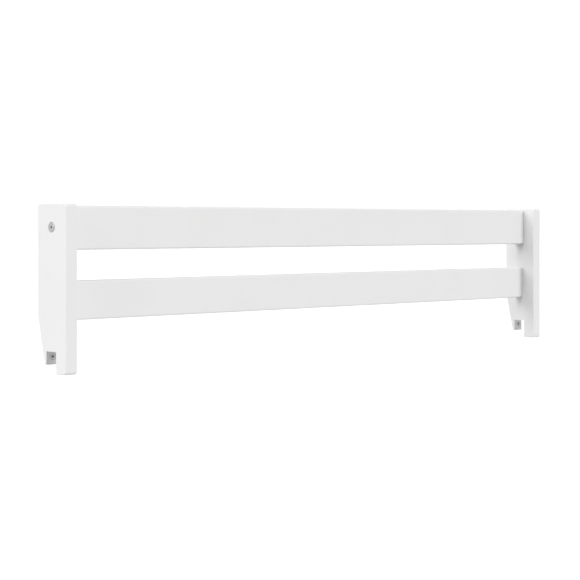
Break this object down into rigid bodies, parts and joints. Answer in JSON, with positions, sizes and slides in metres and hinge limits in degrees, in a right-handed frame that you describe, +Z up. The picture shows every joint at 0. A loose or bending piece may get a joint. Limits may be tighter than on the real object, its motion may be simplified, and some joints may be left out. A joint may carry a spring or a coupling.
{
  "type": "bed guard rail",
  "caption": "White wooden bed guard rail: two forked end boards that hang over a bed's side board, joined by a top rail and a lower rail, with steel plates in the slots.",
  "frame": {"origin": "on the top edge of the bed's side board that the guard hangs on, half way between the two end boards", "axes": "+X along the rails to the right as seen from outside the bed, +Y from outside the bed towards the mattress, +Z up"},
  "size_m": [1.368, 0.077, 0.29],
  "materials": {
    "white_lacquer": "satin white lacquer on solid wood",
    "zinc_plated_steel": "zinc plated, dull",
    "beech": "bare beech"
  },
  "bodies": {
    "root": {"top_rail": "white_lacquer", "lower_rail": "white_lacquer", "left_end_board": "white_lacquer", "left_connector_bolt": "zinc_plated_steel", "left_barrel_nut": "zinc_plated_steel", "left_slot_plate": "zinc_plated_steel", "left_plate_screw": "zinc_plated_steel", "left_top_rail_dowel_1": "beech", "left_top_rail_dowel_2": "beech", "left_lower_rail_dowel_1": "beech", "left_lower_rail_dowel_2": "beech", "right_end_board": "white_lacquer", "right_connector_bolt": "zinc_plated_steel", "right_barrel_nut": "zinc_plated_steel", "right_slot_plate": "zinc_plated_steel", "right_plate_screw": "zinc_plated_steel", "right_top_rail_dowel_1": "beech", "right_top_rail_dowel_2": "beech", "right_lower_rail_dowel_1": "beech", "right_lower_rail_dowel_2": "beech"}
  },
  "joints": []
}
